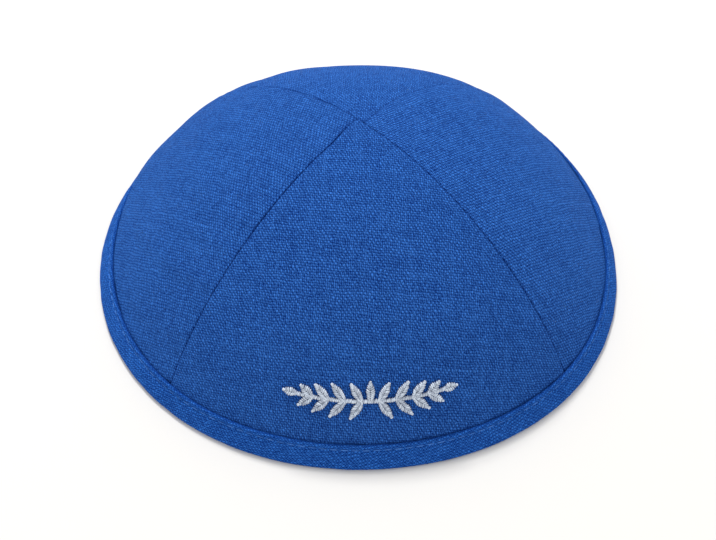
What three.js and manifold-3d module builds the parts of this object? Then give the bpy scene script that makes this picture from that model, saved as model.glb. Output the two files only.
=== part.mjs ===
// Four-panel linen skullcap with a bias-cut binding folded over its rim and a stitched sprig.
// Millimetres, +Z up. The rim rests on Z = 0, the front panel faces -Y and the right one +X.
// Angles run round the cap in degrees, from 0 at the front towards the right.

import * as THREE from 'three';
import Module from 'manifold-3d';

// Driving dimensions
const RIM_RADIUS = 87; // middle of the cap to the outside of the binding
const CAP_HEIGHT = 59.5; // floor to the top of the crown
const CLOTH_WALL = 1.2; // crown cloth with its seam allowances and backing
const BINDING_WALL = 1.0; // folded bias strip
const BINDING_HEIGHT = 8; // floor to the binding's upper edge, along the cloth
const FOLD_ROUND = 0.9; // rounding of the binding's fold above the floor
const CLEARANCE = 0.3; // between any two pieces
const TIP_RADIUS = 0.9; // where the four panel tips end around the middle of the top

// Shape of the crown, as shares of the height, the rim's radius and a panel's width
const WALL_SHARE = 0.41; // share of the height that the straight wall governs
const PEAK_SHARE = 0.03; // fall of the top towards the shoulder
const FLATNESS = 0.2; // 0 is a round crown, 1 has flat panels between ridged seams
const RIDGE_START = 0.35; // share of the climb over which the ridges grow from the round rim

// A row for each section of the crown, in equal steps round it.
// rim: push of the rim outwards, as a share of its radius. lean: slope of the wall, in degrees
// from upright. shoulder: reach of the flat top, as a share of the rim's radius.
const SECTIONS = [
  { at: 0, rim: 0.0, lean: 28, shoulder: 0.515 },
  { at: 45, rim: 0.012, lean: 26, shoulder: 0.515 },
  { at: 90, rim: -0.015, lean: 29, shoulder: 0.515 },
  { at: 135, rim: 0.02, lean: 34, shoulder: 0.525 },
  { at: 180, rim: -0.012, lean: 34, shoulder: 0.49 },
  { at: 225, rim: -0.006, lean: 24, shoulder: 0.51 },
  { at: 270, rim: -0.006, lean: 35, shoulder: 0.515 },
  { at: 315, rim: 0.01, lean: 29, shoulder: 0.505 },
];

// A row for each panel, with the seam where it starts. It ends at the next row's seam.
const PANELS = [
  { name: 'panel_front', seam: -46 },
  { name: 'panel_right', seam: 46 },
  { name: 'panel_back', seam: 135 },
  { name: 'panel_left', seam: 223 },
];
const PANEL_COLUMNS = 14;
const PANEL_ROWS = 16;
const BINDING_STEPS = 80;

// Embroidered sprig, in the place above the front of the binding
const SPRIG_WIDTH = 51;
const SPRIG_HEIGHT = 11.5;
const SPRIG_MARGIN = 8; // from the binding's upper edge to the lowest leaf
const STEM_WIDTH = 1.2;
const LEAF_WIDTH = 2.6;
const TIP_WIDTH = 0.5; // of a leaf at its two ends
const THREAD_RAISE = 0.7; // thickness of the stitches in the middle of a leaf
const THREAD_EDGE = 0.4; // thickness of the stitches at its outline

// A row for each whorl of leaves, from the middle outwards; each stands on both halves of the
// stem. along: root of the leaf, as a share of half the sprig's width. length: as a share of
// the sprig's height. tilt: degrees between the leaf and the stem.
const WHORLS = [
  { along: 0.1, length: 0.52, tilt: 58 },
  { along: 0.29, length: 0.55, tilt: 50 },
  { along: 0.48, length: 0.5, tilt: 44 },
  { along: 0.66, length: 0.42, tilt: 38 },
];
const STEM_END = 0.84; // where each end leaf starts, as a share of half the sprig's width
const STEM_SAG = 0.1; // rise of the stem's ends above its middle, as a share of the height

const CLOTH_BLUE = new THREE.Color(0x2856a0);
const THREAD_SILVER = new THREE.Color(0xc9cdd6);

// Height of the crown's cut edge, which the fold of the binding goes under
const EDGE_HEIGHT = BINDING_WALL + CLEARANCE;

const radians = THREE.MathUtils.degToRad;

function cubic(t, a, b, c, d) {
  const s = 1 - t;
  return s * s * s * a + 3 * s * s * t * b + 3 * s * t * t * c + t * t * t * d;
}

// Value of one column of the section table at an angle, on a smooth closed curve
function sectionValue(column, angle) {
  const count = SECTIONS.length;
  const place = (THREE.MathUtils.euclideanModulo(angle, 360) / 360) * count;
  const row = Math.floor(place);
  const t = place - row;
  const at = (step) => SECTIONS[(row + step + count) % count][column];
  const [a, b, c, d] = [at(-1), at(0), at(1), at(2)];
  const slopes = (c - a) * t + (2 * a - 5 * b + 4 * c - d) * t * t + (3 * b - a - 3 * c + d) * t * t * t;
  return b + slopes / 2;
}

// Where an angle lies across its panel, from -1 at one seam to 1 at the next
function acrossPanel(angle) {
  const turned = THREE.MathUtils.euclideanModulo(angle - PANELS[0].seam, 360);
  for (let i = 0; i < PANELS.length; i += 1) {
    const { start, width } = panelSpan(i);
    const from = start - PANELS[0].seam;
    if (turned <= from + width) {
      return ((turned - from) / width) * 2 - 1;
    }
  }
  return 1;
}

function panelSpan(index) {
  const start = PANELS[index].seam;
  const last = index === PANELS.length - 1;
  const end = last ? PANELS[0].seam + 360 : PANELS[index + 1].seam;
  return { start, width: end - start };
}

// Outside of the crown: climb is 0 at its cut edge and 1 at the top
function crownPoint(angle, climb) {
  const lean = radians(sectionValue('lean', angle));
  const rimRadius = RIM_RADIUS * (1 + sectionValue('rim', angle));
  const edgeRadius = rimRadius - (CLEARANCE + BINDING_WALL) / Math.cos(lean);
  const shoulder = sectionValue('shoulder', angle) * edgeRadius;
  const wall = WALL_SHARE * CAP_HEIGHT;
  const radius = cubic(climb, edgeRadius, edgeRadius - wall * Math.tan(lean), shoulder, 0);
  const peak = CAP_HEIGHT - PEAK_SHARE * shoulder;
  const height = cubic(climb, EDGE_HEIGHT, EDGE_HEIGHT + wall, peak, CAP_HEIGHT);
  return { radius: radius * ridge(angle, climb), height };
}

// Pulls the middle of a panel in and lets its seams stand out, with the mean radius kept
function ridge(angle, climb) {
  const halfQuarter = Math.PI / 4;
  const evenPlace = 1 / Math.sqrt(3);
  const bend = FLATNESS * THREE.MathUtils.smoothstep(climb, 0, RIDGE_START) * halfQuarter;
  return Math.cos(bend * evenPlace) / Math.cos(bend * acrossPanel(angle));
}

// A point off the crown's outside, in mm along the cloth's normal. Near the cut edge the
// offset turns level, so that both faces of the cloth end at the same height.
function offsetPoint(angle, climb, distance) {
  const step = 0.001;
  const turnEnd = 0.12;
  const point = crownPoint(angle, climb);
  const below = crownPoint(angle, climb - step);
  const above = crownPoint(angle, climb + step);
  const normal = new THREE.Vector2(above.height - below.height, below.radius - above.radius).normalize();
  const turn = THREE.MathUtils.smoothstep(climb, 0, turnEnd);
  const direction = new THREE.Vector2(1, 0).lerp(normal, turn).normalize();
  const reach = distance / direction.dot(normal);
  return { radius: point.radius + reach * direction.x, height: point.height + reach * direction.y };
}

// How far up a section a length along the cloth from the cut edge reaches
function climbAt(angle, length) {
  const step = 0.002;
  let remaining = length;
  let last = crownPoint(angle, 0);
  for (let climb = step; climb < 1; climb += step) {
    const next = crownPoint(angle, climb);
    const stride = Math.hypot(next.radius - last.radius, next.height - last.height);
    if (stride >= remaining) {
      return climb - step * (1 - remaining / stride);
    }
    remaining -= stride;
    last = next;
  }
  return 1;
}

function climbAtRadius(angle, radius) {
  let low = 0.5;
  let high = 1;
  for (let i = 0; i < 40; i += 1) {
    const middle = (low + high) / 2;
    if (crownPoint(angle, middle).radius > radius) {
      low = middle;
    } else {
      high = middle;
    }
  }
  return low;
}

function turned(angle, { radius, height }) {
  const turn = radians(angle);
  return new THREE.Vector3(radius * Math.sin(turn), -radius * Math.cos(turn), height);
}

function solidGeometry(points, triangles) {
  const geometry = new THREE.BufferGeometry();
  const values = points.flatMap((point) => [point.x, point.y, point.z]);
  geometry.setAttribute('position', new THREE.Float32BufferAttribute(values, 3));
  geometry.setIndex(triangles);
  geometry.computeVertexNormals();
  return geometry;
}

// Closed shell between two grids of points, outside and inside, with the rim between them.
// Seen from outside, a row runs to the right and the rows go up.
function shellGeometry(outside, inside) {
  const rows = outside.length;
  const columns = outside[0].length;
  const points = [...outside.flat(), ...inside.flat()];
  const at = (side, row, column) => side * rows * columns + row * columns + column;
  const triangles = [];
  const quad = (a, b, c, d) => triangles.push(a, b, c, a, c, d);
  for (let row = 0; row < rows - 1; row += 1) {
    for (let column = 0; column < columns - 1; column += 1) {
      quad(at(0, row, column), at(0, row, column + 1), at(0, row + 1, column + 1), at(0, row + 1, column));
      quad(at(1, row, column), at(1, row + 1, column), at(1, row + 1, column + 1), at(1, row, column + 1));
    }
  }
  for (let column = 0; column < columns - 1; column += 1) {
    quad(at(1, 0, column), at(1, 0, column + 1), at(0, 0, column + 1), at(0, 0, column));
    const top = rows - 1;
    quad(at(0, top, column), at(0, top, column + 1), at(1, top, column + 1), at(1, top, column));
  }
  for (let row = 0; row < rows - 1; row += 1) {
    quad(at(1, row, 0), at(0, row, 0), at(0, row + 1, 0), at(1, row + 1, 0));
    const right = columns - 1;
    quad(at(0, row, right), at(1, row, right), at(1, row + 1, right), at(0, row + 1, right));
  }
  return solidGeometry(points, triangles);
}

// Closed ring through a list of equal loops, which run downwards on the outside
function ringGeometry(loops) {
  const count = loops[0].length;
  const triangles = [];
  loops.forEach((loop, step) => {
    const next = (step + 1) % loops.length;
    for (let i = 0; i < count; i += 1) {
      const j = (i + 1) % count;
      const [a, b, c, d] = [step * count + i, step * count + j, next * count + j, next * count + i];
      triangles.push(a, b, c, a, c, d);
    }
  });
  return solidGeometry(loops.flat(), triangles);
}

// A row of points across a panel, clear of both seams by half the clearance
function panelRow({ start, width }, climb, distance) {
  const end = start + width;
  const seamAngle = (angle) => {
    const { radius } = offsetPoint(angle, climb, distance);
    return THREE.MathUtils.radToDeg(Math.asin(CLEARANCE / 2 / radius));
  };
  const from = start + seamAngle(start);
  const to = end - seamAngle(end);
  const row = [];
  for (let i = 0; i <= PANEL_COLUMNS; i += 1) {
    const angle = THREE.MathUtils.lerp(from, to, i / PANEL_COLUMNS);
    row.push(turned(angle, offsetPoint(angle, climb, distance)));
  }
  return row;
}

function panelGeometry(index) {
  const span = panelSpan(index);
  const top = climbAtRadius(span.start + span.width / 2, TIP_RADIUS);
  const outside = [];
  const inside = [];
  for (let i = 0; i <= PANEL_ROWS; i += 1) {
    const climb = (top * i) / PANEL_ROWS;
    outside.push(panelRow(span, climb, 0));
    inside.push(panelRow(span, climb, -CLOTH_WALL));
  }
  return shellGeometry(outside, inside);
}

// Section of the binding at one angle: down the outside, under the edge, up the inside, and
// back round the cloth that it holds
function bindingLoop(angle) {
  const leg = climbAt(angle, BINDING_HEIGHT - EDGE_HEIGHT);
  const clear = CLEARANCE;
  const full = CLEARANCE + BINDING_WALL;
  const outer = (share) => offsetPoint(angle, leg * share, full);
  const inner = (share) => offsetPoint(angle, leg * share, -CLOTH_WALL - full);
  const outerSlot = (share) => offsetPoint(angle, leg * share, clear);
  const innerSlot = (share) => offsetPoint(angle, leg * share, -CLOTH_WALL - clear);
  const outside = outer(0).radius;
  const inside = inner(0).radius;
  const round = (radius, side) => [
    { radius: radius - side * FOLD_ROUND * (1 - Math.SQRT1_2), height: FOLD_ROUND * (1 - Math.SQRT1_2) },
    { radius: radius - side * FOLD_ROUND, height: 0 },
  ];
  const loop = [
    outer(1), outer(0.5), outer(0), ...round(outside, 1),
    ...round(inside, -1).reverse(), inner(0), inner(0.5), inner(1),
    innerSlot(1), { radius: innerSlot(0).radius, height: BINDING_WALL },
    { radius: outerSlot(0).radius, height: BINDING_WALL }, outerSlot(1),
  ];
  return loop.map((point) => turned(angle, point));
}

function bindingGeometry() {
  const loops = [];
  for (let i = 0; i < BINDING_STEPS; i += 1) {
    loops.push(bindingLoop((i / BINDING_STEPS) * 360));
  }
  return ringGeometry(loops);
}

// A point of the sprig: right and up are mm on the cloth from the middle of its lower edge,
// and above is mm off the cloth
function sprigPoint(right, up, above) {
  const base = BINDING_HEIGHT - EDGE_HEIGHT + SPRIG_MARGIN;
  const middle = crownPoint(0, climbAt(0, base + SPRIG_HEIGHT / 2));
  const angle = THREE.MathUtils.radToDeg(right / middle.radius);
  return turned(angle, offsetPoint(angle, climbAt(angle, base + up), above));
}

function stemHeight(right) {
  const share = right / (SPRIG_WIDTH / 2);
  return SPRIG_HEIGHT * (0.5 - STEM_SAG / 2 + STEM_SAG * share * share);
}

// A raised strip of stitches along a line of points, each with its half width
function stitchedStrip(line) {
  const outside = [];
  const inside = [];
  line.forEach(({ right, up, across, halfWidth }) => {
    const row = [-1, 0, 1].map((side) => ({
      right: right + side * halfWidth * across.x,
      up: up + side * halfWidth * across.y,
      raise: side === 0 ? THREAD_RAISE : THREAD_EDGE,
    }));
    outside.push(row.map((point) => sprigPoint(point.right, point.up, CLEARANCE + point.raise)));
    inside.push(row.map((point) => sprigPoint(point.right, point.up, CLEARANCE)));
  });
  return shellGeometry(outside, inside);
}

function stem() {
  const steps = 20;
  const end = (SPRIG_WIDTH / 2) * (STEM_END + 0.02);
  const line = [];
  for (let i = 0; i <= steps; i += 1) {
    const right = THREE.MathUtils.lerp(-end, end, i / steps);
    line.push({ right, up: stemHeight(right), across: new THREE.Vector2(0, -1), halfWidth: STEM_WIDTH / 2 });
  }
  return stitchedStrip(line);
}

// A leaf from its root on the stem, as long as given, at an angle from the sprig's +right
function leaf(root, length, angle) {
  const shares = [0, 0.2, 0.5, 0.8, 1];
  const along = new THREE.Vector2(Math.cos(radians(angle)), Math.sin(radians(angle)));
  const across = new THREE.Vector2(along.y, -along.x);
  const line = shares.map((share) => ({
    right: root + along.x * length * share,
    up: stemHeight(root) + along.y * length * share,
    across,
    halfWidth: (TIP_WIDTH + (LEAF_WIDTH - TIP_WIDTH) * Math.sin(Math.PI * share)) / 2,
  }));
  return stitchedStrip(line);
}

function sprigPieces() {
  const half = SPRIG_WIDTH / 2;
  const pieces = [stem(), leaf(0, SPRIG_HEIGHT / 2, 90)];
  WHORLS.forEach(({ along, length, tilt }) => {
    [tilt, -tilt, 180 - tilt, 180 + tilt].forEach((angle) => {
      const side = Math.sign(Math.cos(radians(angle)));
      pieces.push(leaf(side * along * half, length * SPRIG_HEIGHT, angle));
    });
  });
  const endLength = half * (1 - STEM_END);
  const slope = THREE.MathUtils.radToDeg(Math.atan((4 * STEM_SAG * SPRIG_HEIGHT) / SPRIG_WIDTH));
  pieces.push(leaf(half * STEM_END, endLength, slope), leaf(-half * STEM_END, endLength, 180 - slope));
  return pieces;
}

// One body out of several overlapping closed geometries
function joinedGeometry(wasm, geometries) {
  const solids = geometries.map((geometry) => new wasm.Manifold(new wasm.Mesh({
    numProp: 3,
    vertProperties: geometry.attributes.position.array,
    triVerts: new Uint32Array(geometry.index.array),
  })));
  const mesh = solids.reduce((whole, solid) => whole.add(solid)).getMesh();
  const geometry = new THREE.BufferGeometry();
  geometry.setAttribute('position', new THREE.BufferAttribute(mesh.vertProperties, 3));
  geometry.setIndex(new THREE.BufferAttribute(mesh.triVerts, 1));
  geometry.computeVertexNormals();
  return geometry;
}

function namedMesh(name, geometry, color, roughness) {
  const material = new THREE.MeshStandardMaterial({ color, roughness, metalness: 0 });
  const mesh = new THREE.Mesh(geometry, material);
  mesh.name = name;
  return mesh;
}

const wasm = await Module();
wasm.setup();

const skullcap = new THREE.Group();
PANELS.forEach(({ name }, index) => {
  skullcap.add(namedMesh(name, panelGeometry(index), CLOTH_BLUE, 0.9));
});
skullcap.add(namedMesh('rim_binding', bindingGeometry(), CLOTH_BLUE, 0.85));
skullcap.add(namedMesh('embroidery', joinedGeometry(wasm, sprigPieces()), THREAD_SILVER, 0.5));

// The rim isn't quite round, so the cap is moved to have the middle of its box on the Z axis
const middle = new THREE.Box3().setFromObject(skullcap).getCenter(new THREE.Vector3());
skullcap.position.set(-middle.x, -middle.y, 0);

export default skullcap;
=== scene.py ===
import math

import bpy
import numpy as np
from mathutils import Matrix, Vector


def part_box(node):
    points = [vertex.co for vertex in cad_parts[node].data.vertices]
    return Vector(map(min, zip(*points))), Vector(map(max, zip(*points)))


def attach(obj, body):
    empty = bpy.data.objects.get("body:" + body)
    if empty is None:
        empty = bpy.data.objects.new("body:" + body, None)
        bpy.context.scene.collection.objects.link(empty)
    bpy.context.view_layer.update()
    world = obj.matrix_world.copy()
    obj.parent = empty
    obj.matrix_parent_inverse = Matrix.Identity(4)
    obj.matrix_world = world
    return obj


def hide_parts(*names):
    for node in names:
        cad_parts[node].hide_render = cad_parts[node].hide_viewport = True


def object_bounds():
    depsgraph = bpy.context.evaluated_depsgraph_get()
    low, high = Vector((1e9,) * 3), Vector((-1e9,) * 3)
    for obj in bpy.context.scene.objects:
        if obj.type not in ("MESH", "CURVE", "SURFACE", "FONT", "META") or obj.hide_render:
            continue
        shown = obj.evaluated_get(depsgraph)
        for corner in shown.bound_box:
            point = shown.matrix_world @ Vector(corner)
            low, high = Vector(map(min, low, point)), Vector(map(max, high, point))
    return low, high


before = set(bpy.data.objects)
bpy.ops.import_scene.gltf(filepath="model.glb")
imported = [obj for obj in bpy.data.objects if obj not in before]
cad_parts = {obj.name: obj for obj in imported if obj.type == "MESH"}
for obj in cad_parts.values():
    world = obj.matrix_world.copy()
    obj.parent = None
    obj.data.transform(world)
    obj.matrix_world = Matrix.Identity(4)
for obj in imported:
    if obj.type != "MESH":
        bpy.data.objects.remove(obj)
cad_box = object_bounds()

# A four-panel linen skullcap: crown panels with sewn seams, a topstitched bias binding folded
# over the rim, and a satin-stitched sprig. Sizes are in mm, and meshes are made in metres.
# Angles run round the cap in degrees, from 0 at the front (-Y) towards the right (+X).
MM = 0.001

# Sizes of the pieces
CLOTH_WALL = 1.2
BINDING_WALL = 1.0
BINDING_HEIGHT = 8.0
CLEARANCE = 0.3
EDGE_HEIGHT = BINDING_WALL + CLEARANCE
LEG_LENGTH = BINDING_HEIGHT - EDGE_HEIGHT  # of the binding on the cloth, from the cloth's cut edge
CAP_HEIGHT = cad_box[1][2] / MM

# Shape of the crown, as shares of the height, the rim's radius and a panel's width
WALL_SHARE = 0.41
PEAK_SHARE = 0.03
FLATNESS = 0.2
RIDGE_START = 0.35

# A row for each section of the crown, 45 degrees apart from the front on: push of the rim outwards
# as a share of its radius, lean of the wall in degrees, and reach of the flat top as a share of the
# radius
SECTIONS = [
    {"rim": 0.0, "lean": 28, "shoulder": 0.515},
    {"rim": 0.012, "lean": 26, "shoulder": 0.515},
    {"rim": -0.015, "lean": 29, "shoulder": 0.515},
    {"rim": 0.02, "lean": 34, "shoulder": 0.525},
    {"rim": -0.012, "lean": 34, "shoulder": 0.49},
    {"rim": -0.006, "lean": 24, "shoulder": 0.51},
    {"rim": -0.006, "lean": 35, "shoulder": 0.515},
    {"rim": 0.01, "lean": 29, "shoulder": 0.505},
]

# A row for each panel: the seam where it starts, the way its weft and warp threads run in
# degrees from level on the panel, and how much its cloth is pulled out across the warp and the
# weft. For each of its two seams: how far its edge stands up and how deep it turns in, in mm, a
# depth that also sets how dark the painted shade in that seam is, and how dark the seam's painted
# shade stays near the binding. Last, which way its tip lies along the through seam
PANELS = [
    {"node": "panel_front", "seam": -46, "weft": -6, "warp": 86, "pull": (0.0, 0.0),
     "edges": (0.14, 0.14), "ditches": (0.8, 0.65), "low_shade": (0.25, 1.2), "tip": -1},
    {"node": "panel_right", "seam": 46, "weft": -52, "warp": 38, "pull": (0.0, 0.11),
     "edges": (-0.2, 0.14), "ditches": (0.65, 0.35), "low_shade": (1.2, 0.4), "tip": 1},
    {"node": "panel_back", "seam": 135, "weft": 2, "warp": 91, "pull": (0.0, 0.04),
     "edges": (-0.1, -0.1), "ditches": (0.35, 0.6), "low_shade": (0.4, 0.4), "tip": 1},
    {"node": "panel_left", "seam": 223, "weft": 50, "warp": 140, "pull": (-0.14, 0.14),
     "edges": (0.1, -0.2), "ditches": (0.6, 0.8), "low_shade": (0.4, 0.25), "tip": -1},
]

# Two seams end on a third one that runs through the top, each a little off its middle
THROUGH_SEAM = 44.5
TIP_SLIDE = 1.3

# Seams
SEAM_ROUND = 0.7  # width over which a cloth edge turns down into the seam
SEAM_GAP = 0.02
# Mean strength of the painted shade in a seam
SEAM_SHADE = 0.7
ALLOWANCE = 7.0  # width of the cloth turned under beside a seam
ALLOWANCE_WALL = 0.4
TIP_RADIUS = 0.12

# A row for each low relief with soft bumps, and one for the painted shade in the seams: how strong
# it is, the size of one bump in the two ways that it runs, and the seed of its noise
SOFT_BUMPS = {
    "pucker": {"strength": 0.1, "sizes": (4.5, 5), "seed": 31},
    "gather": {"strength": 0.14, "sizes": (5.5, 9), "seed": 71},
    "fold": {"strength": 0.28, "sizes": (16, 34), "seed": 5},
    "dimple": {"strength": 0.1, "sizes": (3.2, 6), "seed": 91},
    "ripple": {"strength": 0.09, "sizes": (1, 5), "seed": 17},
    "seam_shade": {"strength": 0.3, "sizes": (9, 1), "seed": 5864},
}

# A row for each place where the cloth hangs out over the binding: its middle and its reach to
# each side in degrees, how far it stands out, and where it rises and falls above the binding
SIDE_BULGES = [
    {"middle": 234, "reach": 30, "out": 0.9, "rise": (-3, 5), "fall": (12, 38)},
    {"middle": 253, "reach": 24, "out": 0.8, "rise": (-1.5, 3.5), "fall": (4, 14)},
]

# Binding and its topstitch
HUG_GAP = 0.05  # between the binding and the cloth that it is sewn to
STITCH_DROP = 1.5  # from the binding's upper edge to the stitch line
STITCH_PITCH = 3.3
STITCH_LENGTH = 2.7
THREAD_RADIUS = 0.17

# Embroidered sprig, as the model's table has it
SPRIG_WIDTH = 51.0
SPRIG_HEIGHT = 11.5
SPRIG_MARGIN = 8.0
STEM_WIDTH = 1.2
LEAF_WIDTH = 2.6
LEAF_TIP = 0.5
WHORLS = [
    {"along": 0.1, "length": 0.52, "tilt": 58},
    {"along": 0.29, "length": 0.55, "tilt": 50},
    {"along": 0.48, "length": 0.5, "tilt": 44},
    {"along": 0.66, "length": 0.42, "tilt": 38},
]
STEM_END = 0.84
STEM_SAG = 0.1

# Satin stitches: how far apart, how thick and how high they are, and numbers for their tones
SATIN_PITCH = 0.52
SATIN_RADIUS = 0.28
LEAF_LIFT = 0.82
STEM_LIFT = 0.7
LEAF_NUMBERS = 100
STEM_NUMBERS = 5000
SATIN_SLIP = np.random.default_rng(23)  # for the small unevenness of the stitches

# Meshes: points of each piece along its two ways
PANEL_ROWS = 150
PANEL_COLUMNS = 161
BINDING_STEPS = 900
LEG_POINTS = 26
FOLD_POINTS = 18

# Weave: distance between two threads, and how the threads wander, in bumps a mm and reach in mm
WARP_PITCH = 0.57
WEFT_PITCH = 0.805
WANDERINGS = [
    {"bumps": 0.16, "reach": 0.9},
    {"bumps": 0.9, "reach": 0.5},
]

# How much each thing counts in the height and in the tone of the cloth. In the tone, height gives
# painted shade down between the threads and a painted highlight on their tops, and crossing a
# painted shade that sets the floats of warp and weft apart
HEIGHT_SHARES = {"thread": 0.88, "slub": 0.14, "uneven": 0.12, "cell": 0.15, "fibres": 0.55}
TONE_SHARES = {
    "height": 1.5,
    "crossing": -0.12,
    "crossing_cell": -0.75,
    "slant": 0.14,
    "uneven": 0.12,
    "slub": 0.09,
    "cell": 0.1,
    "cloud": 0.03,
    "streak": 0.12,
}

# A thread's grain holds its number times this, plus the place round it from 0 to 1
NUMBER_STEP = 10

# Camera, as fitted to the photo's frame of 716 by 540 pixels
PHOTO_WIDTH = 716
FOCAL_PIXELS = 1318.7
VIEW_DISTANCE = 450.0
VIEW_HEIGHT_ANGLE = 47.9
VIEW_SIDE_ANGLE = -2.7
VIEW_ROLL = 0.4
AIM = (-0.4, 0.0, -8.2)

# Light, in metres and watts
SKY_STRENGTH = 0.8
KEY_PLACE = (-0.12, 0.65, 1.0)
KEY_SIZE = 0.3
KEY_WATTS = 9.6


def smooth(value, low, high):
    """Eases from 0 at low to 1 at high."""
    t = np.clip((value - low) / (high - low), 0, 1)
    return t * t * (3 - 2 * t)


def bell(value, middle, width):
    """1 at the middle, and falling away on both sides."""
    return np.exp(-(((value - middle) / width) ** 2))


def cubic(t, a, b, c, d):
    """A cubic curve from a to d, pulled towards b and c."""
    s = 1 - t
    return s**3 * a + 3 * s**2 * t * b + 3 * s * t**2 * c + t**3 * d


def section_value(column, angle):
    """A column of the section table at each angle, on a smooth closed curve."""
    values = np.array([row[column] for row in SECTIONS], float)
    count = len(values)
    place = (np.asarray(angle) % 360) / 360 * count
    row = np.floor(place).astype(int)
    t = place - row
    a, b, c, d = (values[(row + step) % count] for step in (-1, 0, 1, 2))
    return b + ((c - a) * t + (2 * a - 5 * b + 4 * c - d) * t**2 + (3 * b - a - 3 * c + d) * t**3) / 2


def panel_span(index):
    """The angles of a panel's two seams."""
    start = PANELS[index]["seam"]
    last = index == len(PANELS) - 1
    end = PANELS[0]["seam"] + 360 if last else PANELS[index + 1]["seam"]
    return start, end


def across_panel(angle):
    """-1 at the seam where a panel starts, 1 at the one where it ends."""
    first = PANELS[0]["seam"]
    starts = np.array([row["seam"] - first for row in PANELS] + [360.0])
    turned = (np.asarray(angle) - first) % 360
    panel = np.clip(np.searchsorted(starts, turned, side="right") - 1, 0, len(PANELS) - 1)
    return (turned - starts[panel]) / (starts[panel + 1] - starts[panel]) * 2 - 1


def rim_outline():
    """The rim's radius and its middle in mm, so that its box is the frame's own."""
    low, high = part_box("rim_binding")
    angle = np.linspace(0, 360, 721)
    reach = 1 + section_value("rim", angle)
    x = reach * np.sin(np.radians(angle))
    y = -reach * np.cos(np.radians(angle))
    radius = (high[0] - low[0]) / MM / (x.max() - x.min())
    return radius, (-(x.max() + x.min()) / 2 * radius, -(y.max() + y.min()) / 2 * radius)


RIM_RADIUS, MIDDLE = rim_outline()


def ridge(angle, climb):
    """Pulls the middle of a panel in and lets its seams stand out, with the mean radius kept."""
    half_quarter = math.pi / 4
    even_place = 1 / math.sqrt(3)
    bend = FLATNESS * smooth(climb, 0, RIDGE_START) * half_quarter
    return np.cos(bend * even_place) / np.cos(bend * across_panel(angle))


def crown(angle, climb):
    """Radius and height of the crown's outside. climb is 0 at its cut edge and 1 on top."""
    lean = np.radians(section_value("lean", angle))
    rim = RIM_RADIUS * (1 + section_value("rim", angle))
    edge = rim - (CLEARANCE + BINDING_WALL) / np.cos(lean)
    shoulder = section_value("shoulder", angle) * edge
    wall = WALL_SHARE * CAP_HEIGHT
    radius = cubic(climb, edge, edge - wall * np.tan(lean), shoulder, 0)
    peak = CAP_HEIGHT - PEAK_SHARE * shoulder
    height = cubic(climb, EDGE_HEIGHT, EDGE_HEIGHT + wall, peak, CAP_HEIGHT)
    return radius * ridge(angle, climb), height


def section_offset(angle, climb, distance):
    """Radius and height at a distance off the crown's outside. It turns level near the edge."""
    step = 0.001
    turn_end = 0.12
    radius, height = crown(angle, climb)
    below = crown(angle, climb - step)
    above = crown(angle, climb + step)
    normal_r, normal_z = above[1] - below[1], below[0] - above[0]
    size = np.hypot(normal_r, normal_z)
    normal_r, normal_z = normal_r / size, normal_z / size
    turn = smooth(climb, 0, turn_end)
    way_r, way_z = 1 + (normal_r - 1) * turn, normal_z * turn
    size = np.hypot(way_r, way_z)
    way_r, way_z = way_r / size, way_z / size
    reach = distance / (way_r * normal_r + way_z * normal_z)
    return radius + reach * way_r, height + reach * way_z


def placed(angle, radius, height):
    """Points in mm in the frame, from a place round the cap."""
    turn = np.radians(angle)
    x = radius * np.sin(turn) + MIDDLE[0]
    y = -radius * np.cos(turn) + MIDDLE[1]
    return np.stack(np.broadcast_arrays(x, y, height), axis=-1)


def off_cloth(angle, climb, distance):
    """Points in mm at a distance off the crown's outside."""
    return placed(angle, *section_offset(angle, climb, distance))


def lengths_up(angle, climb):
    """Length along the cloth from the cut edge, for rows of climbs."""
    radius, height = crown(angle, climb)
    steps = np.hypot(np.diff(radius, axis=0), np.diff(height, axis=0))
    return np.concatenate([np.zeros((1,) + steps.shape[1:]), np.cumsum(steps, axis=0)])


def climb_at(angle, length):
    """The climb that a length along the cloth reaches, at each angle."""
    samples = 241
    angle, length = np.broadcast_arrays(np.asarray(angle, float), np.asarray(length, float))
    climbs = np.linspace(0, 1, samples)
    up = lengths_up(angle.ravel()[None, :], climbs[:, None])
    found = [np.interp(goal, up[:, i], climbs) for i, goal in enumerate(length.ravel())]
    return np.array(found).reshape(angle.shape)


def value_noise(x, y, seed):
    """Smooth noise between -1 and 1 with one bump for each unit of x and y."""
    size = 64
    lattice = np.random.default_rng(seed).uniform(-1, 1, (size, size))
    column, row = np.floor(x).astype(int), np.floor(y).astype(int)
    u, v = smooth(x - column, 0, 1), smooth(y - row, 0, 1)

    def corner(i, j):
        return lattice[(row + j) % size, (column + i) % size]

    low = corner(0, 0) * (1 - u) + corner(1, 0) * u
    high = corner(0, 1) * (1 - u) + corner(1, 1) * u
    return low * (1 - v) + high * v


def soft_bumps(name, x, y, seed_step=0):
    """One row of the table of soft bumps, at places along its two ways."""
    row = SOFT_BUMPS[name]
    noise = value_noise(x / row["sizes"][0], y / row["sizes"][1], row["seed"] + seed_step)
    return row["strength"] * noise


def grid_quads(rows, columns, first=0, flip=False):
    """Quads of a grid whose points are numbered from first."""
    index = first + np.arange(rows * columns).reshape(rows, columns)
    corners = [index[:-1, :-1], index[:-1, 1:], index[1:, 1:], index[1:, :-1]]
    if flip:
        corners.reverse()
    return np.stack([corner.ravel() for corner in corners], axis=1)


def border_of(rows, columns):
    """Indices round a grid, anticlockwise from its first corner."""
    index = np.arange(rows * columns).reshape(rows, columns)
    sides = [index[0, :-1], index[:-1, -1], index[-1, :0:-1], index[:0:-1, 0]]
    return np.concatenate(sides)


def shell_faces(rows, columns):
    """Quads of a closed shell: an outside grid, an inside grid after it, and their border."""
    inside = rows * columns
    border = border_of(rows, columns)
    after = np.roll(border, -1)
    strip = np.stack([border + inside, after + inside, after, border], axis=1)
    grids = [grid_quads(rows, columns), grid_quads(rows, columns, inside, flip=True)]
    return np.concatenate(grids + [strip]).tolist()


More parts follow.
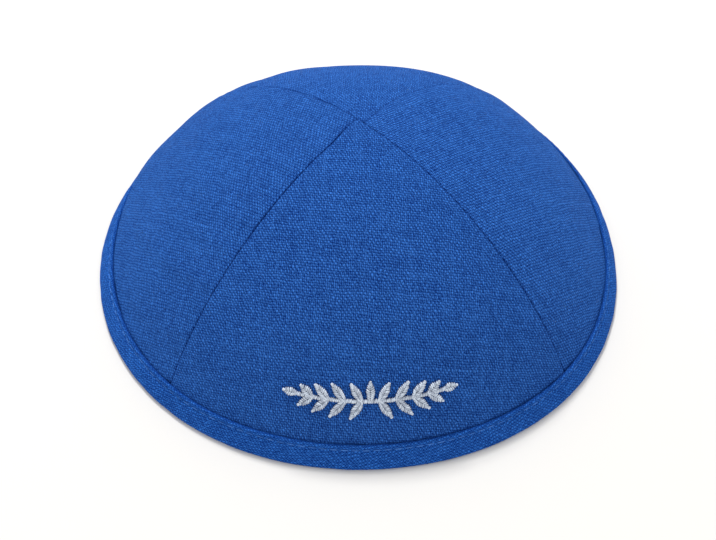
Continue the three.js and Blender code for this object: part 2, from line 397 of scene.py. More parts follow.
def ring_faces(steps, points):
    """Quads of a closed ring of closed loops, which run downwards on the outside."""
    index = np.arange(steps * points).reshape(steps, points)
    ahead = np.roll(index, -1, axis=0)
    corners = [index, np.roll(index, -1, axis=1), np.roll(ahead, -1, axis=1), ahead]
    return np.stack([corner.ravel() for corner in corners], axis=1).tolist()


def add_piece(name, points, faces, grain, painted_shade, material, replaced=None):
    """A smooth mesh from points in mm. grain is each point's place on the flat cloth in mm, and the
    argument after it gives each point's painted shade from 0 to 1: down in a seam, just above or
    along the binding's upper edge, or where a stitch goes into its hole."""
    mesh = bpy.data.meshes.new(name)
    mesh.from_pydata((points.reshape(-1, 3) * MM).tolist(), [], faces)
    mesh.polygons.foreach_set("use_smooth", [True] * len(mesh.polygons))
    corners = np.empty(len(mesh.loops), np.int32)
    mesh.loops.foreach_get("vertex_index", corners)
    painted_shade = painted_shade.ravel()
    layers = {"grain": grain.reshape(-1, 2), "painted_shade": np.stack([painted_shade, painted_shade], axis=-1)}
    for layer_name, values in layers.items():
        layer = mesh.uv_layers.new(name=layer_name)
        layer.uv.foreach_set("vector", values[corners].astype(np.float32).ravel())
    mesh.materials.append(material)
    mesh.update()
    piece = bpy.data.objects.new(name, mesh)
    bpy.context.scene.collection.objects.link(piece)
    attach(piece, "root")
    if replaced:
        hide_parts(replaced)
    return piece


class Shader:
    """One material's nodes. Sockets are passed round as values, and numbers may take their place."""

    def __init__(self, name, constants):
        self.material = bpy.data.materials.new(name)
        self.material.use_nodes = True
        self.tree = self.material.node_tree
        self.surface = self.tree.nodes["Principled BSDF"]
        for socket, value in constants.items():
            self.surface.inputs[socket].default_value = value

    def feed(self, socket, value):
        if isinstance(value, bpy.types.NodeSocket):
            self.tree.links.new(value, socket)
        else:
            socket.default_value = value

    def math(self, operation, *values):
        node = self.tree.nodes.new("ShaderNodeMath")
        node.operation = operation
        for socket, value in zip(node.inputs, values):
            self.feed(socket, value)
        return node.outputs[0]

    def add(self, a, b):
        return self.math("ADD", a, b)

    def times(self, a, b):
        return self.math("MULTIPLY", a, b)

    def total(self, start, *parts):
        """The start with parts added to it. Each part is a value and the share that it counts."""
        for value, share in parts:
            start = self.add(start, self.times(value, share))
        return start

    def plane(self, x, y):
        node = self.tree.nodes.new("ShaderNodeCombineXYZ")
        self.feed(node.inputs[0], x)
        self.feed(node.inputs[1], y)
        return node.outputs[0]

    def noise(self, x, y, detail=0.0):
        """Noise round 0, within about half a unit, with one bump for each unit of x and y."""
        node = self.tree.nodes.new("ShaderNodeTexNoise")
        node.noise_dimensions = "2D"
        node.inputs["Scale"].default_value = 1.0
        node.inputs["Detail"].default_value = detail
        self.feed(node.inputs["Vector"], self.plane(x, y))
        return self.math("SUBTRACT", node.outputs[0], 0.5)

    def speckle(self, x, y):
        """A value of its own between 0 and 1 for each place."""
        node = self.tree.nodes.new("ShaderNodeTexWhiteNoise")
        node.noise_dimensions = "2D"
        self.feed(node.inputs["Vector"], self.plane(x, y))
        return node.outputs[0]

    def ramp(self, value, low, high):
        node = self.tree.nodes.new("ShaderNodeMapRange")
        node.interpolation_type = "SMOOTHSTEP"
        self.feed(node.inputs["Value"], value)
        node.inputs["From Min"].default_value = low
        node.inputs["From Max"].default_value = high
        return node.outputs[0]

    def blend(self, share, dark, light):
        node = self.tree.nodes.new("ShaderNodeMix")
        node.data_type = "RGBA"
        self.feed(node.inputs[0], share)
        self.feed(node.inputs[6], dark)
        self.feed(node.inputs[7], light)
        return node.outputs[2]

    def layer(self, name):
        """The two numbers that a mesh keeps under a name."""
        layer = self.tree.nodes.new("ShaderNodeUVMap")
        layer.uv_map = name
        parts = self.tree.nodes.new("ShaderNodeSeparateXYZ")
        self.tree.links.new(layer.outputs[0], parts.inputs[0])
        return parts.outputs[0], parts.outputs[1]

    def finish(self, colour, height, depth):
        """Feeds the surface its colour, and bumps as deep as given in mm."""
        self.feed(self.surface.inputs["Base Color"], colour)
        bump = self.tree.nodes.new("ShaderNodeBump")
        bump.inputs["Distance"].default_value = depth * MM
        self.feed(bump.inputs["Height"], height)
        self.tree.links.new(bump.outputs[0], self.surface.inputs["Normal"])
        return self.material


def threads(shader, place, along, seed):
    """One set of threads: rounding across each, and its own thickness along its length."""
    # Steps in the noise from one thread to the next, and bumps a mm along a thread
    uneven_step, slub_step = 3.71, 5.13
    uneven_bumps, slub_bumps = 0.11, 0.05
    slub_start, slub_full = 0.12, 0.3
    number = shader.math("FLOOR", place)
    wave = shader.math("SINE", shader.times(place, math.pi))
    uneven_row = shader.total(seed, (number, uneven_step))
    uneven = shader.noise(uneven_row, shader.times(along, uneven_bumps), detail=1.0)
    slub_row = shader.total(seed, (number, slub_step))
    slub = shader.noise(slub_row, shader.times(along, slub_bumps))
    slub = shader.ramp(slub, slub_start, slub_full)
    return {"place": place, "number": number, "wave": wave, "uneven": uneven, "slub": slub}


def wandered(shader, x, y, bumps, reach):
    """Moves places on the cloth about, so that threads don't run dead straight."""
    apart = 40.0  # in the noise, between the two ways
    noise_x, noise_y = shader.times(x, bumps), shader.times(y, bumps)
    aside = shader.noise(noise_x, noise_y, detail=1.0)
    along = shader.noise(shader.add(noise_y, apart), noise_x, detail=1.0)
    return shader.total(x, (aside, reach)), shader.total(y, (along, reach))


def plain_weave(shader):
    """Places on the cloth, its two sets of threads, which one is over the other at a crossing,
    and a number of its own for each crossing."""
    warp_seed, weft_seed = 11.0, 57.0
    x, y = shader.layer("grain")
    for row in WANDERINGS:
        x, y = wandered(shader, x, y, row["bumps"], row["reach"])
    warp = threads(shader, shader.times(x, 1 / WARP_PITCH), y, warp_seed)
    weft = threads(shader, shader.times(y, 1 / WEFT_PITCH), x, weft_seed)
    over = shader.times(warp["wave"], weft["wave"])
    cell = shader.add(shader.speckle(warp["number"], weft["number"]), -0.5)
    return {"x": x, "y": y, "warp": warp, "weft": weft, "over": over, "cell": cell}


def weave_height(shader, weave):
    """How high the cloth stands, and 1 where the warp is on top."""
    part = HEIGHT_SHARES
    warp_roundness, weft_roundness = 0.6, 0.3
    fibre_bumps_x, fibre_bumps_y = 2.6, 2.2
    heights = []
    rows = ((weave["warp"], 0.5, warp_roundness), (weave["weft"], -0.5, weft_roundness))
    for thread, side, roundness in rows:
        rounded = shader.math("POWER", shader.math("ABSOLUTE", thread["wave"]), roundness)
        lift = shader.total(0.5, (weave["over"], side))
        thickness = shader.total(part["thread"], (thread["slub"], part["slub"]))
        thickness = shader.total(thickness, (thread["uneven"], part["uneven"]))
        heights.append(shader.times(shader.times(rounded, lift), thickness))
    top = shader.math("MAXIMUM", *heights)
    height = shader.times(top, shader.total(1.0, (weave["cell"], part["cell"])))
    fibre_x = shader.times(weave["x"], fibre_bumps_x)
    fibre_y = shader.times(weave["y"], fibre_bumps_y)
    fibres = shader.noise(fibre_x, fibre_y, detail=1.0)
    height = shader.total(height, (fibres, part["fibres"]))
    return height, shader.math("GREATER_THAN", *heights)


def weave_tone(shader, weave, height, warp_on_top):
    """How light the cloth is: 0 is its dark colour and 1 its light one. Beside the yarn's own
    unevenness it holds painted shade and a painted highlight on the weave's relief.
    """
    part = TONE_SHARES
    mean_height, middle_tone = 0.6, 0.5
    cloud_bumps, streak_bumps_across, streak_bumps_along = 0.07, 0.3, 0.025
    x, y, warp, weft, cell = (weave[name] for name in ("x", "y", "warp", "weft", "cell"))
    # Painted shade down between the threads and a painted highlight on their tops, from the weave's
    # height
    tone = shader.times(shader.add(height, -mean_height), part["height"])
    # Painted shade that sets the floats of warp and weft a little apart, and a tone of each
    # crossing's own
    crossing = shader.total(part["crossing"], (cell, part["crossing_cell"]))
    tone = shader.total(tone, (weave["over"], crossing))
    slant = shader.times(shader.add(warp["place"], weft["place"]), math.pi)
    tone = shader.total(tone, (shader.math("COSINE", slant), part["slant"]))
    weft_on_top = shader.math("SUBTRACT", 1.0, warp_on_top)
    for thread, on_top in ((warp, warp_on_top), (weft, weft_on_top)):
        own = shader.times(thread["uneven"], part["uneven"])
        own = shader.total(own, (thread["slub"], part["slub"]))
        tone = shader.total(tone, (own, on_top))
    cloud_x, cloud_y = shader.times(x, cloud_bumps), shader.times(y, cloud_bumps)
    cloud = shader.noise(cloud_x, cloud_y, detail=3.0)
    tone = shader.total(tone, (cell, part["cell"]), (cloud, part["cloud"]))
    for across, along in ((x, y), (y, x)):
        across = shader.times(across, streak_bumps_across)
        along = shader.times(along, streak_bumps_along)
        streak = shader.noise(across, along, detail=2.0)
        tone = shader.total(tone, (streak, part["streak"]))
    return shader.add(tone, middle_tone)


def linen(name, dark, light, depth):
    """Plain weave with slubs, between the dark and the light colour. Its tone holds the yarn's own
    unevenness, painted shade down between the threads with a painted highlight on their tops, and
    painted shade in the seams and by the binding's upper edge.
    """
    lift, light_held_back, painted_shade_share = 1.16, 0.3, 0.8
    shader = Shader(name, {"Roughness": 0.9, "Specular IOR Level": 0.04, "Sheen Weight": 0.09,
                           "Sheen Roughness": 0.5, "Sheen Tint": (0.05, 0.32, 1.0, 1)})
    weave = plain_weave(shader)
    height, warp_on_top = weave_height(shader, weave)
    tone = weave_tone(shader, weave, height, warp_on_top)
    tone = shader.times(tone, shader.total(lift, (tone, -light_held_back)))
    # Painted shade in the seams, just above the binding and along the binding's upper edge darkens
    # the tone
    painted_shade, _ = shader.layer("painted_shade")
    tone = shader.times(tone, shader.total(1.0, (painted_shade, -painted_shade_share)))
    return shader.finish(shader.blend(tone, dark, light), height, depth)


def thread_material(name, dark, light, roughness, gloss, twist):
    """Sewing thread: twisted plies along it, with painted shade in the grooves between them, a tone
    of its own for each stitch, and painted shade at its ends where it goes into the cloth."""
    least_tone, ply_share, stitch_share, end_shade = 0.34, 0.2, 0.5, 0.85
    noise_row = 3.0
    ply_depth = 0.05
    shader = Shader(name, {"Roughness": roughness, "Specular IOR Level": gloss})
    along, around = shader.layer("grain")
    place = shader.total(around, (along, twist))
    ply = shader.math("ABSOLUTE", shader.math("SINE", shader.times(place, math.pi)))
    number = shader.math("FLOOR", shader.times(around, 1 / NUMBER_STEP))
    stitch = shader.speckle(number, noise_row)
    # The plies give painted shade in their grooves, and each stitch a tone of its own
    tone = shader.total(least_tone, (ply, ply_share), (stitch, stitch_share))
    # Painted shade at each end of a stitch, where it goes into the cloth
    end, _ = shader.layer("painted_shade")
    tone = shader.times(tone, shader.total(1.0, (end, -end_shade)))
    return shader.finish(shader.blend(tone, dark, light), ply, ply_depth)


LINEN = linen("linen", dark=(0.001, 0.02, 0.155, 1), light=(0.046, 0.199, 0.68, 1), depth=0.28)
BIAS_LINEN = linen(
    "bias_linen", dark=(0.001, 0.024, 0.18, 1), light=(0.033, 0.18, 0.66, 1), depth=0.18
)
SEWING_THREAD = thread_material(
    "sewing_thread", dark=(0.01, 0.07, 0.3, 1), light=(0.09, 0.27, 0.76, 1),
    roughness=0.7, gloss=0.03, twist=1.6,
)
SILVER_THREAD = thread_material(
    "silver_thread", dark=(0.05, 0.07, 0.16, 1), light=(0.79, 0.88, 1.0, 1),
    roughness=0.26, gloss=0.8, twist=1.2,
)


def flat_place(points, panel):
    """Where points lie on the panel's flat cloth in mm, across its warp and its weft threads."""
    centre_climb = 0.42
    step = 0.01
    bend_radius = 75.0
    tiny = 0.001
    start, end = panel_span(panel)
    middle = (start + end) / 2
    centre = off_cloth(middle, centre_climb, 0)
    side = off_cloth(middle + step, centre_climb, 0) - off_cloth(middle - step, centre_climb, 0)
    side /= np.linalg.norm(side)
    up = off_cloth(middle, centre_climb + step, 0) - off_cloth(middle, centre_climb - step, 0)
    up -= side * (side @ up)
    up /= np.linalg.norm(up)
    away = points - centre
    chord = np.minimum(np.linalg.norm(away, axis=-1), 2 * bend_radius)
    arc = 2 * bend_radius * np.arcsin(chord / 2 / bend_radius)
    x, y = away @ side, away @ up
    stretch = arc / np.maximum(np.hypot(x, y), tiny)
    x, y = x * stretch, y * stretch
    warp, weft = math.radians(PANELS[panel]["warp"]), math.radians(PANELS[panel]["weft"])
    across_warp = x * math.sin(warp) - y * math.cos(warp)
    across_weft = y * math.cos(weft) - x * math.sin(weft)
    return np.stack([across_warp, across_weft], axis=-1) / (1 + np.array(PANELS[panel]["pull"]))


def turned_in(distance, depth):
    """How far a cloth edge rounds down into its seam, by distance from the seam."""
    inside = np.clip(1 - distance / SEAM_ROUND, 0, 1)
    return -depth * (1 - np.sqrt(1 - inside**2))


def seam_relief(panel, side, distance, length, fade):
    """Relief beside one seam of a panel: its edge, the turn into the seam, and puckers. fade
    is 1, and less near the top."""
    row = PANELS[panel]
    low_reach = 0.8
    edge_start, edge_end = 0.35, 1.15
    tip_depth = 0.35
    pucker_start, pucker_end = 0.5, 7
    other_seam = 35
    reach = ALLOWANCE if row["edges"][side] > 0 else ALLOWANCE * low_reach
    relief = row["edges"][side] * fade * (1 - smooth(distance, reach * edge_start, reach * edge_end))
    relief += turned_in(distance, row["ditches"][side]) * (tip_depth + (1 - tip_depth) * fade)
    puckers = soft_bumps("pucker", length, distance + other_seam * side, panel)
    return relief + puckers * fade * (1 - smooth(distance, pucker_start, pucker_end))


def crown_relief(panel, angle, radius, length, to_seams):
    """Height of a panel's surface over the plain crown in mm: seams, puckers and folds."""
    seams_start, seams_full = 1.5, 10
    gather_full, gather_end = 1, 9
    sewn_down, sewn_end = 0.04, 3.5
    fold_full, fold_fade, fold_end = 12, 50, 90
    fold_shift = 80
    fade = smooth(radius, seams_start, seams_full)
    relief = np.zeros_like(radius)
    for side, distance in enumerate(to_seams):
        relief += seam_relief(panel, side, distance, length, fade)
    around = angle / 360 * 2 * math.pi * radius
    up = length - LEG_LENGTH
    gathered = 1 - smooth(up, gather_full, gather_end)
    relief += soft_bumps("gather", around, length, panel) * gathered
    relief -= sewn_down * (1 - smooth(up, 0, sewn_end))
    folded = smooth(up, 0, fold_full) * (1 - smooth(length, fold_fade, fold_end))
    relief += soft_bumps("fold", around + fold_shift, length, panel) * folded
    relief += side_bulge(angle, up)
    if PANELS[panel]["node"] == "panel_front":
        relief += stitched_dimples(around, up)
    return relief


def side_bulge(angle, up):
    """The cloth hangs out over the binding on one side, behind the left."""
    full_reach = 3
    relief = np.zeros_like(up)
    for row in SIDE_BULGES:
        beside = 1 - smooth(np.abs(angle % 360 - row["middle"]), full_reach, row["reach"])
        over = smooth(up, *row["rise"]) * (1 - smooth(up, *row["fall"]))
        relief += row["out"] * beside * over
    return relief


def stitched_dimples(around, up):
    """The cloth sinks a little round the embroidery and ripples beside it."""
    sink, reach = 0.12, 7
    beside = np.maximum(np.abs(around) - SPRIG_WIDTH / 2, 0)
    over = np.maximum(np.abs(up - SPRIG_MARGIN - SPRIG_HEIGHT / 2) - SPRIG_HEIGHT / 2, 0)
    near = 1 - smooth(np.hypot(beside, over), 0, reach)
    return near * (soft_bumps("dimple", around, up) - sink)


def allowance_relief(to_seams, radius):
    """Relief of a panel's inside: the cloth turned under beside its seams, and its turn there."""
    turn_depth = 0.5
    allowance_full, allowance_end = ALLOWANCE - 0.5, ALLOWANCE + 0.1
    # Radii between which each of them fades away towards the top
    wall_radii, turn_radii = (4, 14), (1, 6)
    relief = np.zeros_like(radius)
    for distance in to_seams:
        turned_under = 1 - smooth(distance, allowance_full, allowance_end)
        relief -= ALLOWANCE_WALL * turned_under * smooth(radius, *wall_radii)
        relief -= turned_in(distance, turn_depth) * smooth(radius, *turn_radii)
    return relief


def panel_painted_shade(panel, length, to_seams):
    """Painted shade of each point of a panel from 0 to 1: a painted shadow just above the binding's
    upper edge, and painted shade down in its seams.
    """
    binding_shadow, binding_full, binding_end = 0.9, 0.05, 0.4
    seam_width = 0.8
    low_end, high_start = 2, 14
    up = length - LEG_LENGTH
    # Painted shadow just above the binding's upper edge
    painted_shade = binding_shadow * (1 - smooth(up, binding_full, binding_end))
    # Painted shade down in each seam, uneven along it
    for side, distance in enumerate(to_seams):
        depth, low_shade = PANELS[panel]["ditches"][side], PANELS[panel]["low_shade"][side]
        seam = (panel + side) % len(PANELS)
        shade = SEAM_SHADE + soft_bumps("seam_shade", length, seam)
        shade *= low_shade + (1 - low_shade) * smooth(up, low_end, high_start)
        painted_shade += depth * (1 - smooth(distance, 0, seam_width)) * shade
    return np.minimum(painted_shade, 1)


def slid_tip(points, way):
    """Slides a panel's tip along the seam that runs through the top."""
    full_slide, slide_end = 1.5, 14
    turn = math.radians(THROUGH_SEAM)
    along = np.array([math.sin(turn), -math.cos(turn), 0])
    from_top = np.hypot(points[:, 0] - MIDDLE[0], points[:, 1] - MIDDLE[1])
    near = 1 - smooth(from_top, full_slide, slide_end)
    return points + way * TIP_SLIDE * near[:, None] * along


def panel_columns(count):
    """Places across a panel from 0 to 1, close together beside its two seams."""
    crowding = 1.9
    even = np.linspace(-1, 1, count)
    return (np.sign(even) * (1 - (1 - np.abs(even)) ** crowding) + 1) / 2


def tip_climb(angle):
    """The climb where the crown's radius is down to that of a panel's blunt tip."""
    low, samples = 0.9, 400
    radius = crown(angle, np.linspace(low, 1, samples))[0]
    return low + (1 - low) * np.argmax(radius < TIP_RADIUS) / samples


def build_panel(panel):
    """One panel of the crown, as a closed shell with its relief outside and its seam allowances
    inside."""
    felt_most, felt_share = 0.3, 0.5
    start, end = panel_span(panel)
    climb = (np.linspace(0, 1, PANEL_ROWS) * tip_climb((start + end) / 2))[:, None]
    gap = np.degrees(SEAM_GAP / crown(start, climb)[0])
    share = panel_columns(PANEL_COLUMNS)[None, :]
    angle = start + gap + (end - start - 2 * gap) * share
    radius = crown(angle, climb)[0]
    length = lengths_up(angle, climb)
    to_seams = [np.radians(angle - start) * radius, np.radians(end - angle) * radius]
    relief = crown_relief(panel, angle, radius, length, to_seams)
    outside = off_cloth(angle, climb, relief)
    felt_inside = relief.clip(-felt_most, felt_most) * felt_share
    inside_relief = felt_inside - CLOTH_WALL + allowance_relief(to_seams, radius)
    inside = off_cloth(angle, climb, inside_relief)
    points = np.concatenate([outside.reshape(-1, 3), inside.reshape(-1, 3)])
    points = slid_tip(points, PANELS[panel]["tip"])
    faces = shell_faces(PANEL_ROWS, PANEL_COLUMNS)
    grain = flat_place(points, panel)
    # Painted shade in the seams and a painted shadow just above the binding
    painted_shade = np.tile(panel_painted_shade(panel, length, to_seams).ravel(), 2)
    node = PANELS[panel]["node"]
    add_piece(f"{node}_cloth", points, faces, grain, painted_shade, LINEN, node)


def stitch_count():
    """How many running stitches go round the binding."""
    return round(2 * math.pi * RIM_RADIUS / STITCH_PITCH)


def binding_relief(angle, drop):
    """Outside of the binding above the cloth under it. drop is mm from its upper edge."""
    full = BINDING_WALL - 0.1
    edge_round, edge_fall = 0.55, 0.96
    groove_depth, puff_height, stitch_width = 0.4, 0.1, 0.5
    groove_share, groove_swing = 0.8, 0.2
    ripple_count, ripple_slant = 128, 4
    ripple_start, ripple_full = 0.4, 2
    body_rise, body_start, body_full = 0.12, 1.9, 4
    inside = np.clip(edge_round - drop, 0, edge_round) / edge_round
    rounded = full * np.sqrt(1 - inside**2 * edge_fall)
    stitch = np.cos(angle / 360 * stitch_count() * 2 * math.pi)
    groove = groove_depth * bell(drop, STITCH_DROP, stitch_width)
    groove *= groove_share - groove_swing * stitch
    puffs = puff_height * bell(drop, STITCH_DROP / 2, stitch_width) * (1 - stitch) / 2
    slanted = angle / 360 * ripple_count + drop / ripple_slant
    ripple = soft_bumps("ripple", slanted, drop) * smooth(drop, ripple_start, ripple_full)
    body = body_rise * smooth(drop, body_start, body_full)
    return rounded - groove + puffs + ripple + body


def binding_loop(angle, drop):
    """Radius and height of the points round the binding's section: down its outer leg, round the
    fold, up its inner leg, and back along both legs where the cloth hides them."""
    squareness = 0.62
    hidden_step = 5
    climb = climb_at(np.broadcast_to(angle, drop.shape), LEG_LENGTH - drop)
    outer = section_offset(angle, climb, HUG_GAP + binding_relief(angle, drop))
    inner_relief = binding_relief(angle + 180, drop)
    inner = section_offset(angle, climb, -CLOTH_WALL - HUG_GAP - inner_relief)
    outer_hidden = section_offset(angle, climb[:, ::-hidden_step], HUG_GAP)
    inner_hidden = section_offset(angle, climb[:, ::hidden_step], -CLOTH_WALL - HUG_GAP)
    turn = np.linspace(0, math.pi, FOLD_POINTS)[None, 1:-1]
    right, left = outer[0][:, -1:], inner[0][:, -1:]
    reach = np.sign(np.cos(turn)) * np.abs(np.cos(turn)) ** squareness
    fold_radius = (right + left) / 2 + (right - left) / 2 * reach
    fold_height = EDGE_HEIGHT * (1 - np.sin(turn) ** squareness)
    fold = (fold_radius, np.broadcast_to(fold_height, fold_radius.shape))
    inner_up = (inner[0][:, ::-1], inner[1][:, ::-1])
    stretches = (outer, fold, inner_up, inner_hidden, outer_hidden)
    radius = np.concatenate([stretch[0] for stretch in stretches], axis=1)
    height = np.concatenate([stretch[1] for stretch in stretches], axis=1)
    return radius, height


def build_binding():
    """The strip folded over the rim, as one closed ring, with its weave running at a slant."""
    crowding = 1.35
    edge_shade, edge_full, edge_end = 0.7, 0.02, 0.25
    angle = (180 + np.arange(BINDING_STEPS) / BINDING_STEPS * 360)[:, None]
    drop = LEG_LENGTH * np.linspace(0, 1, LEG_POINTS)[None, :] ** crowding
    drop = np.broadcast_to(drop, (BINDING_STEPS, LEG_POINTS))
    radius, height = binding_loop(angle, drop)
    points = placed(angle, radius, height)
    strides = np.hypot(np.diff(radius, axis=1), np.diff(height, axis=1))
    run = np.concatenate([np.zeros((BINDING_STEPS, 1)), np.cumsum(strides, axis=1)], axis=1)
    around = np.broadcast_to(angle / 360 * 2 * math.pi * RIM_RADIUS, run.shape)
    grain = np.stack([(around + run) / math.sqrt(2), (run - around) / math.sqrt(2)], axis=-1)
    # Painted shade along the outer leg's upper edge, where the binding meets the cloth; none
    # elsewhere
    painted_shade = np.zeros_like(radius)
    painted_shade[:, :LEG_POINTS] = edge_shade * (1 - smooth(drop, edge_full, edge_end))
    count = radius.shape[1]
    faces = ring_faces(BINDING_STEPS, count)
    name, node = "rim_binding_cloth", "rim_binding"
    piece = add_piece(name, points, faces, grain, painted_shade, BIAS_LINEN, node)
    join_grain(piece, count)


def join_grain(piece, count):
    """Carries the cloth's grain on over the last quads of the ring, where its ends meet."""
    layer = piece.data.uv_layers["grain"].uv
    values = np.empty(len(layer) * 2, np.float32)
    layer.foreach_get("vector", values)
    quads = values.reshape(-1, 4, 2)
    lap = 2 * math.pi * RIM_RADIUS / math.sqrt(2)
    quads[-count:, 2:] += [lap, -lap]
    layer.foreach_set("vector", quads.ravel())


def thread_tube(path, radius, sides, number):
    """A closed thread along a path of points in mm: its points, quads, end caps and grain, and the
    painted shade of each point from 0 to 1, strongest in the hole at each end."""
    end_size, end_bend = 0.35, 2.5
    path = np.asarray(path)
    ahead = np.gradient(path, axis=0)
    ahead /= np.linalg.norm(ahead, axis=1, keepdims=True)
    up = path[0] * [1, 1, 0]
    up = up / np.linalg.norm(up) + [0, 0, 1]
    side = np.cross(ahead, up)
    side /= np.linalg.norm(side, axis=1, keepdims=True)
    rise = np.cross(side, ahead)
    turn = np.arange(sides) / sides * 2 * math.pi
    steps = len(path)
    size = np.full(steps, radius)
    size[[0, -1]] *= end_size
    ring = np.cos(turn)[None, :, None] * side[:, None] + np.sin(turn)[None, :, None] * rise[:, None]
    points = path[:, None] + ring * size[:, None, None]
    index = np.arange(steps * sides).reshape(steps, sides)
    beside = np.roll(index, -1, axis=1)
    quads = np.stack([index[:-1], beside[:-1], beside[1:], index[1:]], axis=-1).reshape(-1, 4)
    strides = np.linalg.norm(np.diff(path, axis=0), axis=1)
    grain = np.zeros((steps, sides, 2))
    grain[:, :, 0] = np.concatenate([[0], np.cumsum(strides)])[:, None]
    grain[:, :, 1] = number * NUMBER_STEP + np.abs(turn - math.pi)[None, :] / math.pi
    return {
        "points": points.reshape(-1, 3),
        "quads": quads,
        "caps": [index[0][::-1].tolist(), index[-1].tolist()],
        "grain": grain.reshape(-1, 2),
        # Painted shade, strongest at both ends where the thread goes into its hole
        "painted_shade": np.repeat(np.abs(np.linspace(-1, 1, steps)) ** end_bend, sides),
    }


def add_threads(name, tubes, material, replaced=None):
    """One piece out of many thread tubes."""
    faces = []
    first = 0
    for tube in tubes:
        faces += (tube["quads"] + first).tolist()
        faces += [[corner + first for corner in cap] for cap in tube["caps"]]
        first += len(tube["points"])
    names = ("points", "grain", "painted_shade")
    points, grain, painted_shade = (np.concatenate([tube[part] for tube in tubes]) for part in names)
    add_piece(name, points, faces, grain, painted_shade, material, replaced)


def build_topstitch(name, outward):
    """The running stitches of the binding, on its outside or on its inside."""
    steps, sides = 9, 8
    arch_rise, sunk = 1.7, 0.9
    count = stitch_count()
    share = STITCH_LENGTH / STITCH_PITCH
    tubes = []
    for stitch in range(count):
        place = np.linspace(-share / 2, share / 2, steps)
        angle = (stitch + 0.5 + place) / count * 360
        drop = np.full(steps, STITCH_DROP)
        climb = climb_at(angle, LEG_LENGTH - drop)
        arch = 1 - (2 * place / share) ** 4
        lift = THREAD_RADIUS * (arch_rise * arch - sunk)
        turned = angle if outward else angle + 180
        level = HUG_GAP + binding_relief(turned, drop) + lift
        distance = level if outward else -CLOTH_WALL - level
        tubes.append(thread_tube(off_cloth(angle, climb, distance), THREAD_RADIUS, sides, stitch))
    add_threads(name, tubes, SEWING_THREAD)


def sprig_place(right, up, above):
    """A point of the sprig: right and up are mm on the cloth, above is mm off it."""
    base = LEG_LENGTH + SPRIG_MARGIN
    middle = climb_at([0.0], [base + SPRIG_HEIGHT / 2])
    around = crown(np.zeros(1), middle)[0][0]
    angle = np.degrees(np.asarray(right, float) / around)
    return off_cloth(angle, climb_at(angle, base + np.asarray(up, float)), above)


def stem_height(right):
    """Height of the stem's middle line, which sags a little."""
    share = right / (SPRIG_WIDTH / 2)
    return SPRIG_HEIGHT * (0.5 - STEM_SAG / 2 + STEM_SAG * share**2)


def satin_stitch(start, end, number, lift):
    """One raised stitch from one point of the sprig's plane to another."""
    steps, sides = 7, 6
    slip = 0.09
    sunk, arch_bend = -0.1, 0.6
    start = start + SATIN_SLIP.uniform(-slip, slip, 2)
    end = end + SATIN_SLIP.uniform(-slip, slip, 2)
    share = np.linspace(0, 1, steps)
    right = start[0] + (end[0] - start[0]) * share
    up = start[1] + (end[1] - start[1]) * share
    arch = np.sin(math.pi * share) ** arch_bend
    path = sprig_place(right, up, sunk + lift * arch)
    return thread_tube(path, SATIN_RADIUS, sides, number)


def leaf_half_width(share):
    """Half of a leaf's width, by the share of its length."""
    return (LEAF_TIP + (LEAF_WIDTH - LEAF_TIP) * math.sin(math.pi * share)) / 2


def leaf_stitches(root, length, angle, number):
    """Both halves of a leaf, with stitches that run from its midrib out and forwards."""
    lead, overlap = 0.14, 0.08
    along = np.array([math.cos(math.radians(angle)), math.sin(math.radians(angle))])
    across = np.array([-along[1], along[0]])
    base = np.array([root, stem_height(root)])
    count = round(length / SATIN_PITCH)
    stitches = []
    for i in range(count):
        share = i / (count - 1)
        tip = min(share + lead, 1.0)
        for half, side in enumerate((-1, 1)):
            start = base + along * length * share - across * side * overlap
            end = base + along * length * tip + across * side * leaf_half_width(tip)
            stitches.append(satin_stitch(start, end, number + 2 * i + half, LEAF_LIFT))
    return stitches


def stem_stitches():
    """The stem, with stitches that cross it at a slant and reach just into its end leaves."""
    slant, end_lap = 0.5, 0.02
    end = SPRIG_WIDTH / 2 * (STEM_END + end_lap)
    count = round(2 * end / SATIN_PITCH)
    stitches = []
    for i in range(count + 1):
        right = -end + 2 * end * i / count
        up = stem_height(right)
        start = (right - slant / 2, up - STEM_WIDTH / 2)
        stop = (right + slant / 2, up + STEM_WIDTH / 2)
        stitches.append(satin_stitch(start, stop, STEM_NUMBERS + i, STEM_LIFT))
    return stitches


def build_sprig():
    """The stem, a leaf upright on its middle, whorls of four leaves, and a leaf at each end."""
    half = SPRIG_WIDTH / 2
    leaves = [(0, SPRIG_HEIGHT / 2, 90)]
    for row in WHORLS:
        tilt = row["tilt"]
        for angle in (tilt, -tilt, 180 - tilt, 180 + tilt):
            side = math.copysign(1, math.cos(math.radians(angle)))
            leaves.append((side * row["along"] * half, row["length"] * SPRIG_HEIGHT, angle))
    slope = math.degrees(math.atan(4 * STEM_SAG * SPRIG_HEIGHT / SPRIG_WIDTH))
    for side, angle in ((1, slope), (-1, 180 - slope)):
        leaves.append((side * half * STEM_END, half * (1 - STEM_END), angle))
    tubes = stem_stitches()
    for leaf, (root, length, angle) in enumerate(leaves):
        tubes += leaf_stitches(root, length, angle, leaf * LEAF_NUMBERS)
    add_threads("embroidered_sprig", tubes, SILVER_THREAD, "embroidery")


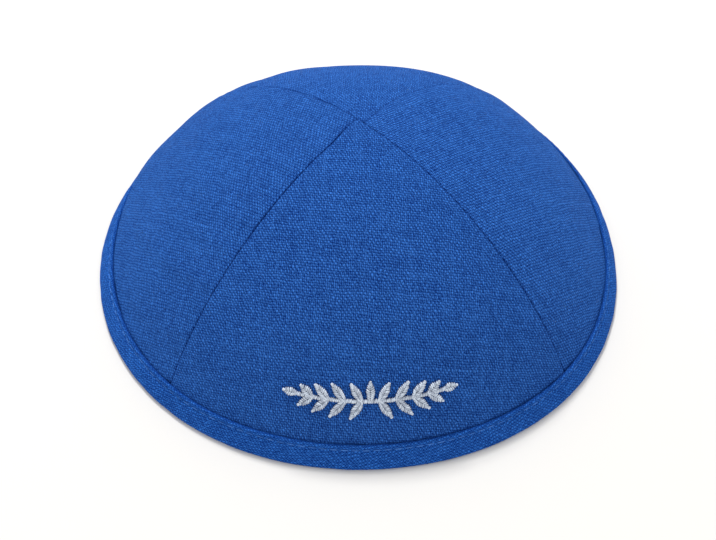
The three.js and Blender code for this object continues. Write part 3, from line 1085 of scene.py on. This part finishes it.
def add_floor():
    """A white floor, 6 m square."""
    half = 3.0
    mesh = bpy.data.meshes.new("floor")
    corners = [(-half, -half, 0), (half, -half, 0), (half, half, 0), (-half, half, 0)]
    mesh.from_pydata(corners, [], [(0, 1, 2, 3)])
    shader = Shader("floor_white", {"Roughness": 0.9, "Specular IOR Level": 0.0,
                                    "Base Color": (0.82, 0.805, 0.775, 1)})
    mesh.materials.append(shader.material)
    floor = bpy.data.objects.new("floor", mesh)
    bpy.context.scene.collection.objects.link(floor)


def add_lights():
    """A white studio all round, and one soft light from above and behind."""
    world = bpy.data.worlds.new("studio")
    world.use_nodes = True
    sky = world.node_tree.nodes["Background"]
    sky.inputs["Color"].default_value = (1, 1, 1, 1)
    sky.inputs["Strength"].default_value = SKY_STRENGTH
    bpy.context.scene.world = world
    data = bpy.data.lights.new("soft_key", "AREA")
    data.shape = "DISK"
    data.size = KEY_SIZE
    data.energy = KEY_WATTS
    light = bpy.data.objects.new("soft_key", data)
    light.location = KEY_PLACE
    light.rotation_euler = (-Vector(KEY_PLACE)).to_track_quat("-Z", "Y").to_euler()
    bpy.context.scene.collection.objects.link(light)


def add_camera():
    """The camera at the photo's angle, looking at a point just below the floor under the cap."""
    height, side = math.radians(VIEW_HEIGHT_ANGLE), math.radians(VIEW_SIDE_ANGLE)
    level = math.cos(height)
    back = Vector((math.sin(side) * level, -math.cos(side) * level, math.sin(height)))
    aim = Vector((AIM[0] + MIDDLE[0], AIM[1] + MIDDLE[1], AIM[2])) * MM
    data = bpy.data.cameras.new("camera")
    data.sensor_fit = "HORIZONTAL"
    data.lens = FOCAL_PIXELS / PHOTO_WIDTH * data.sensor_width
    camera = bpy.data.objects.new("camera", data)
    look = (-back).to_track_quat("-Z", "Y").to_matrix().to_4x4()
    roll = Matrix.Rotation(math.radians(VIEW_ROLL), 4, "Z")
    camera.matrix_world = Matrix.Translation(aim + back * VIEW_DISTANCE * MM) @ look @ roll
    bpy.context.scene.collection.objects.link(camera)
    bpy.context.scene.camera = camera


add_camera()
add_lights()
add_floor()
for panel_index in range(len(PANELS)):
    build_panel(panel_index)
build_binding()
build_topstitch("rim_topstitch", True)
build_topstitch("rim_understitch", False)
build_sprig()
bpy.context.scene.view_settings.view_transform = "Standard"
